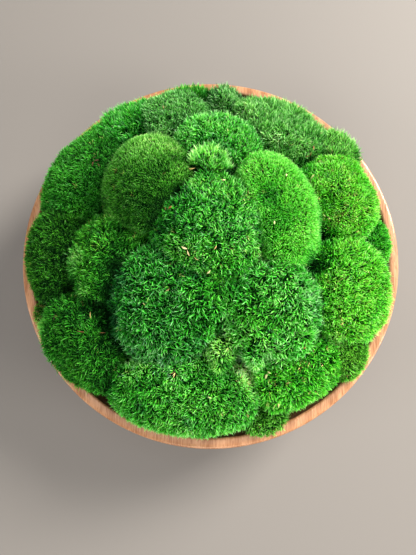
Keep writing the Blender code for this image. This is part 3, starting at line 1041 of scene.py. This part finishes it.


# Tones and paleness partly paint the light: higher on the right of the clump, lower on the left, in its
# shade.
CUSHIONS = (
    MossCushion("moss_crown", Growth.CURLY, MID_MOSS, 0.52, pale=0.05, cold=0.1),
    MossCushion("moss_left_dome", Growth.VELVET, OLIVE_MOSS, 0.22, patch=0.2, pale=-0.1, cold=0.0),
    MossCushion("moss_right_dome", Growth.VELVET, BRIGHT_MOSS, 0.54, patch=0.2, pale=0.26, cold=0.0),
    MossCushion("moss_back_dome", Growth.CURLY, MID_MOSS, 0.42, (0.0, 0.2, 0.3), pale=0.08),
    MossCushion("moss_top_tuft", Growth.BUNCHED, PALE_MOSS, 0.56, (0.1, 1.3, 0.6), pale=0.22),
    MossCushion("moss_front_left", Growth.COARSE, MID_MOSS, 0.28, (-0.3, -0.15, 0.1), pale=0.02),
    MossCushion("moss_front_right", Growth.COARSE, MID_MOSS, 0.51, pale=0.22),
    MossCushion("moss_front", Growth.CURLY, MID_MOSS, 0.49),
    MossCushion("moss_front_low_right", Growth.CURLY, BRIGHT_MOSS, 0.45, straw=0.03),
    MossCushion("moss_lower_right", Growth.DENSE, OLIVE_MOSS, 0.56, pale=-0.08),
    MossCushion("moss_right", Growth.CURLY, BRIGHT_MOSS, 0.59, pale=0.1),
    MossCushion("moss_right_upper", Growth.DENSE, BRIGHT_MOSS, 0.7, patch=0.35, pale=0.12, straw=0.02),
    MossCushion("moss_right_small", Growth.DENSE, BRIGHT_MOSS, 0.42, pale=0.05),
    MossCushion("moss_upper_right", Growth.BUNCHED, SOFT_MOSS, 0.6, (0.1, 0.4, 0.5)),
    MossCushion("moss_back_right", Growth.BUNCHED, SOFT_MOSS, 0.4, (0.1, 0.3, 0.8), pale=0.06),
    MossCushion("moss_back_tuft", Growth.BUNCHED, SOFT_MOSS, 0.12, (0.0, 0.2, 0.8), straw=0.0, cold=0.1),
    MossCushion("moss_back_edge", Growth.BLADES, DEEP_MOSS, 0.45, (0.0, 0.2, 0.6)),
    MossCushion("moss_back_olive", Growth.DENSE, SOFT_MOSS, 0.28, patch=0.3),
    MossCushion("moss_far_back_left", Growth.BUNCHED, MID_MOSS, 0.36, (-0.25, 0.35, 0.2), size=0.9),
    MossCushion("moss_left_back", Growth.DENSE, DEEP_MOSS, 0.44, patch=0.35, pale=-0.1),
    MossCushion("moss_left", Growth.DENSE, OLIVE_MOSS, 0.25, patch=0.35, pale=-0.25),
    MossCushion("moss_left_mid", Growth.CURLY, DEEP_MOSS, 0.5, pale=-0.16),
    MossCushion("moss_lower_left", Growth.CURLY, DEEP_MOSS, 0.43, pale=-0.16),
    MossCushion("moss_left_small", Growth.DENSE, OLIVE_MOSS, 0.5, size=0.8, pale=-0.3, straw=0.3),
    MossCushion("moss_front_small", Growth.CURLY, OLIVE_MOSS, 0.42, pale=0.05, size=0.9),
    MossCushion("moss_pale_tuft", Growth.CURLY, PALE_MOSS, 0.46, (-0.4, -0.9, 0.4), size=0.9),
)


# ------------ dry bits


@dataclass(frozen=True)
class DryFinish:
    """Dead leaves and bits of bark. U of the UV map runs from cream over tan and orange to dark brown."""

    slot: str = "moss_pale"
    places: tuple[float, ...] = (0.05, 0.3, 0.55, 0.78, 1.0)
    tones: tuple[str, ...] = ("D8D69C", "B2A060", "8E5A30", "5C3822", "2A1A10")

    def material(self) -> Material:
        """Make the material of the dry bits."""
        material, tree = new_material("dry_leaf_bits")
        colour = ramp(tree, baked_axes(tree)[0], self.places, self.tones)
        end_shader(tree, {"Base Color": colour, "Roughness": 0.7, "Specular IOR Level": 0.3})
        return material


@dataclass(frozen=True)
class DryBit:
    """One dead leaf or bit of bark on the moss, seen from above, in mm and degrees."""

    x: float
    y: float
    length: float
    width: float
    turn: float
    tone: float
    arch: float = 0.2


DRY_BITS = tuple(DryBit(*row) for row in (
    (-31, 11, 4, 2, 20, 0.55), (-35, 12, 3, 1.4, 110, 0.5), (-20, -21, 5, 1.8, -20, 0.08),
    (-17, -25, 4.5, 1.4, 100, 0.16), (-11, -29, 4, 0.8, -40, 0.24), (3, -22, 3.5, 0.9, 60, 0.4),
    (10, 34, 2.8, 1.5, 20, 0.1), (59, 40, 2.8, 1.2, 70, 0.15), (44, -115, 4.6, 2, 70, 0.1),
    (46, -112, 3.4, 1.6, 150, 0.14), (-15, 45, 6, 1, 10, 0.33, 0.5), (-104, -80, 7, 0.5, 172, 0.68),
    (-87, -81, 5, 0.4, 178, 0.66), (-97, -67, 6, 0.7, 100, 0.3), (-2, -38, 4.2, 1.4, 60, 0.1),
    (-99, 67, 4.5, 1, 15, 0.9), (-102, 64, 4, 0.9, 80, 0.8), (-97, 63, 3.5, 0.9, 130, 0.86),
    (-101, 70, 3.5, 0.8, 50, 0.93), (86, 76, 4, 1.2, 30, 0.74), (89, 78, 3.5, 0.9, 80, 0.7),
    (91, 82, 3.5, 1.2, 100, 0.6), (105, -74, 3, 1.2, 50, 0.3), (73, -93, 2.4, 1.5, 0, 0.5),
    (96, 18, 3, 1, 130, 0.1), (126, 6, 3, 1.2, 20, 0.35), (88, 53, 5, 1.4, 45, 0.16),
    (48, 0, 2.6, 1.2, 90, 0.1), (-1, -131, 3, 1.2, 160, 0.1), (-128, -68, 6, 0.8, 60, 0.95),
))


@dataclass
class DryLitter:
    """The dry bits that lie on the tips of the moss, one mesh for all of them.

    shape is how wide a bit is from one end to the other, half what share of that lies on each side of
    its middle, and drop_from the height in metres from which its place on the moss is looked for.
    """

    lift_mm: float = -0.2
    drop_from: float = 0.4
    half: float = 0.45
    shape: tuple[float, ...] = (0.3, 0.8, 1.0, 0.75, 0.15)
    finish: DryFinish = DryFinish()

    def add_bit(
        self, bm: bmesh.types.BMesh, layer: bmesh.types.BMLayerItem, bit: DryBit, moss: BVHTree
    ) -> None:
        """Lay one arched, pointed bit on the moss under its place."""
        ground, normal, _, _ = moss.ray_cast(Vector((bit.x * MM, bit.y * MM, self.drop_from)), -UP)
        ground.z += MM * float(lifts(np.array([ground]))[0])
        turn = math.radians(bit.turn)
        ahead = Vector((math.cos(turn), math.sin(turn), 0))
        ahead = (ahead - normal * ahead.dot(normal)).normalized()
        side = normal.cross(ahead)
        rows = []
        for step, wide in enumerate(self.shape):
            t = step / (len(self.shape) - 1)
            rise = self.lift_mm + bit.arch * bit.length * 4 * t * (1 - t)
            middle = ground + (ahead * (t - 0.5) * bit.length + normal * rise) * MM
            half = side * (bit.width * wide * self.half * MM)
            rows.append((bm.verts.new(middle - half), bm.verts.new(middle + half), t))
        for (left, right, start), (far_left, far_right, end) in zip(rows, rows[1:]):
            face = bm.faces.new((left, right, far_right, far_left))
            places = ((0, start), (0.04, start), (0.04, end), (0, end))
            for loop, (across, along) in zip(face.loops, places):
                loop[layer].uv = (min(0.98, bit.tone + across), along)

    def build(self, moss: BVHTree) -> None:
        """Lay all the bits, as one piece."""
        bm = bmesh.new()
        layer = bm.loops.layers.uv.new(BAKED_UV)
        for bit in DRY_BITS:
            self.add_bit(bm, layer, bit, moss)
        obj = show(finished(bm), "dry_bits")
        obj.data.materials.append(self.finish.material())
        settle(obj, self.finish.slot)


# ------------ bowl and its soil


@dataclass
class TurnedBowl:
    """The bowl as it comes off the lathe, in mm. Its outside sizes are read from the frame.

    Its walls are arcs round one centre, and start arc_start over the foot and over the floor. The painted
    shade on the inner wall runs from a share of the rim's edge under the rim down to a share of the floor's
    height.
    """

    wall: float = 9.0
    foot_radius: float = 74.0
    foot_height: float = 3.0
    foot_edge: float = 1.0
    floor: float = 12.0
    arc_start: float = 0.7
    rim_lean_deg: float = 18.0
    rim_edge: float = 2.4
    sharp_deg: float = 40.0
    shade_top: float = 0.6
    shade_low: float = 0.5
    segments: int = 180
    wall_steps: int = 22
    edge_steps: int = 5
    finish: TurnedWoodFinish = TurnedWoodFinish()

    def wall_arc(self, rim_radius: float, rim_height: float) -> tuple[Vector, float]:
        """Return the centre (r, z) and the radius of the outer wall's arc, from the foot to the rim."""
        lean = math.radians(self.rim_lean_deg)
        outward = Vector((math.cos(lean), -math.sin(lean)))
        rim = Vector((rim_radius, rim_height - self.rim_edge))
        chord = Vector((self.foot_radius, self.foot_height)) - rim
        radius = -chord.length_squared / (2 * chord.dot(outward))
        return rim - radius * outward, radius

    @staticmethod
    def arc(centre: Vector, radius: float, start: float, end: float, steps: int) -> list[Vector]:
        """Return points (r, z) along an arc between two angles in radians."""
        angles = [start + (end - start) * i / steps for i in range(steps + 1)]
        return [centre + radius * Vector((math.cos(a), math.sin(a))) for a in angles]

    def profile(self, rim_radius: float, rim_height: float) -> list[Vector]:
        """Return the section (r, z) from under the foot, up the outside and down the inside."""
        centre, radius = self.wall_arc(rim_radius, rim_height)
        top = rim_height - self.rim_edge
        low = math.asin((self.foot_height + self.arc_start - centre.y) / radius)
        outer = self.arc(centre, radius, low, math.asin((top - centre.y) / radius), self.wall_steps)
        inner_low = math.asin((self.floor + self.arc_start - centre.y) / (radius - self.wall))
        inner_high = math.asin((top - centre.y) / (radius - self.wall))
        inner = self.arc(centre, radius - self.wall, inner_high, inner_low, self.wall_steps)
        rim_out = Vector((outer[-1].x - self.rim_edge, top))
        rim_in = Vector((inner[0].x + self.rim_edge, top))
        points = [Vector((0, 0)), Vector((self.foot_radius - self.foot_edge, 0))]
        points += [Vector((self.foot_radius, self.foot_edge)), *outer]
        points += self.arc(rim_out, self.rim_edge, 0.0, math.pi / 2, self.edge_steps)[1:]
        points += self.arc(rim_in, self.rim_edge, math.pi / 2, math.pi, self.edge_steps)[:-1]
        return [*points, *inner, Vector((0, self.floor))]

    def ring(self, bm: bmesh.types.BMesh, point: Vector) -> list[bmesh.types.BMVert]:
        """Add the ring that a point (r, z) of the section makes, which on the axis is one point."""
        radius, height = point.x * MM, point.y * MM
        count = self.segments if radius > 0 else 1
        angles = [math.tau * step / count for step in range(count)]
        return [bm.verts.new((radius * math.cos(a), radius * math.sin(a), height)) for a in angles]

    def build(self) -> None:
        """Turn the section about Z, and mark the inner wall for its painted shade."""
        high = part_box("bowl")[1]
        bm = bmesh.new()
        rings = [self.ring(bm, point) for point in self.profile(high.x / MM, high.z / MM)]
        for start, end in zip(rings, rings[1:]):
            for step in range(self.segments):
                places = ((start, step), (start, step + 1), (end, step + 1), (end, step))
                corners = [ring[place % len(ring)] for ring, place in places]
                bm.faces.new(list(dict.fromkeys(corners)))
        mesh = finished(bm)
        mesh.set_sharp_from_angle(angle=math.radians(self.sharp_deg))
        self.mark_shaded_inside(mesh, high)
        mesh.materials.append(self.finish.material())
        settle(show(mesh, "turned_bowl"), self.finish.slot, "bowl")

    def mark_shaded_inside(self, mesh: Mesh, high: Vector) -> None:
        """Write the attribute "inside", 1 on the inner wall, which gets painted shade, and 0 on the rim and
        the outside.
        """
        places, normals = (np.zeros(len(mesh.vertices) * 3, np.float32) for _ in range(2))
        mesh.vertices.foreach_get("co", places)
        mesh.vertices.foreach_get("normal", normals)
        places = places.reshape(-1, 3)
        radial = np.einsum("ij,ij->i", normals.reshape(-1, 3)[:, :2], places[:, :2])
        under_rim = (high.z - places[:, 2]) / MM > self.rim_edge * self.shade_top
        over_floor = places[:, 2] > self.floor * self.shade_low * MM
        write_values(mesh, "inside", (radial < 0) & under_rim & over_floor)


@dataclass
class SoilMound:
    """The soil that fills the bowl, seen only deep between the cushions."""

    voxel_mm: float = 8.0
    crumb_mm: float = 9.0
    depth_mm: float = 1.4
    cover_mm: float = 0.2
    finish: SoilFinish = SoilFinish()

    def build(self, solid: Object) -> None:
        """Make the crumbly mound just under the surface of its solid."""
        mesh = even_copy(solid, "packed_soil", self.voxel_mm)
        for vert in mesh.vertices:
            crumb = abs(noise.noise(vert.co / (self.crumb_mm * MM)))
            vert.co = vert.co - vert.normal * (self.cover_mm + crumb * self.depth_mm) * MM
        mesh.shade_smooth()
        mesh.materials.append(self.finish.material())
        settle(show(mesh, "packed_soil"), self.finish.slot, "soil_mound")


# ------------ studio


@dataclass
class Studio:
    """A pale floor, soft light from the right, and a camera that looks down over the front.

    The stand is measured in rim radii from the rim's middle. Each lamp has a name, a place, the side of
    its square in metres, its power in watts and its colour.
    """

    floor_size: float = 8.0
    floor_colour: str = "6E6A66"
    room_colour: str = "EEF1F4"
    room_strength: float = 0.2
    photo: tuple[int, int] = (416, 555)
    sensor_mm: float = 36.0
    focal_px: float = 417.0
    nearest: float = 0.01
    pitch_deg: float = 78.6
    stand: tuple[float, float, float] = (-0.014, -0.582, 2.147)
    aim: tuple[float, float, float] = (0, 0, 0.1)
    lamps: tuple[tuple, ...] = (
        ("window", (1.34, 0.92, 1.14), 0.8, 117.0, "FFFAF2"),
        ("side", (1.7, -0.7, 0.8), 0.7, 35.0, "FFFAF2"),
        ("front", (0.0, -1.7, 1.3), 1.0, 22.0, "FFFAF2"),
        ("overhead", (0.0, 0.0, 1.4), 1.0, 7.0, "F8FAFF"),
        ("left", (-1.4, -0.5, 0.9), 0.8, 19.0, "FFFAF2"),
    )

    def build_floor(self) -> None:
        """Lay the floor that the bowl stands on."""
        bm = bmesh.new()
        bmesh.ops.create_grid(bm, x_segments=1, y_segments=1, size=self.floor_size / 2)
        # A sheet of matt painted board.
        material, tree = new_material("pale_studio_floor")
        end_shader(tree, {"Base Color": linear(self.floor_colour), "Roughness": 0.85})
        mesh = finished(bm, smooth=False)
        mesh.materials.append(material)
        show(mesh, "studio_floor")

    def build_light(self) -> None:
        """Hang the lamps and set the soft light around them."""
        for name, place, size, watts, colour in self.lamps:
            lamp = bpy.data.lights.new(name, "AREA")
            lamp.size = size
            lamp.energy = watts
            lamp.color = linear(colour)[:3]
            obj = show(lamp, name)
            obj.location = place
            obj.rotation_euler = (Vector(self.aim) - Vector(place)).to_track_quat("-Z", "Y").to_euler()
        world = bpy.data.worlds.new("soft_room")
        world.use_nodes = True
        sky = world.node_tree.nodes["Background"]
        sky.inputs[0].default_value = linear(self.room_colour)
        sky.inputs[1].default_value = self.room_strength
        bpy.context.scene.world = world

    def build_camera(self) -> None:
        """Stand the camera over the bowl's front."""
        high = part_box("bowl")[1]
        lens = bpy.data.cameras.new("camera")
        lens.sensor_width = self.sensor_mm
        lens.lens = self.sensor_mm * self.focal_px / max(self.photo)
        lens.clip_start = self.nearest
        obj = show(lens, "camera")
        obj.location = Vector(self.stand) * high.x + UP * high.z
        obj.rotation_euler = (math.radians(90 - self.pitch_deg), 0, 0)
        bpy.context.scene.camera = obj

    def build(self) -> None:
        """Make the whole studio."""
        self.build_floor()
        self.build_light()
        self.build_camera()
        bpy.context.scene.view_settings.view_transform = "Standard"


def main() -> None:
    """Dress the frame, piece by piece."""
    logging.basicConfig(level=logging.INFO, format="%(message)s", stream=sys.stdout)
    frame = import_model()
    nodes = frame["nodes"]
    Studio().build()
    TurnedBowl().build()
    SoilMound().build(nodes["soil_mound"])
    crowd = Crowd(nodes)
    kits = {growth: ShootKit(growth) for growth in Growth}
    trees = ShootTree()
    slots = {part["node"]: part["material_slot"] for part in frame["record"]["subparts"]}
    leaves = {finish: finish.material() for finish in dict.fromkeys(c.finish for c in CUSHIONS)}
    for number, cushion in enumerate(CUSHIONS):
        cushion.seed = number + 1
        cushion.slot = slots[cushion.node]
        cushion.build(nodes[cushion.node], crowd, kits[cushion.growth], trees, leaves[cushion.finish])
    DryLitter().build(crowd.tree(only="moss_"))
    for kit in kits.values():
        kit.clear()
    bpy.data.node_groups.remove(trees.tree)


if __name__ == "__main__":
    main()
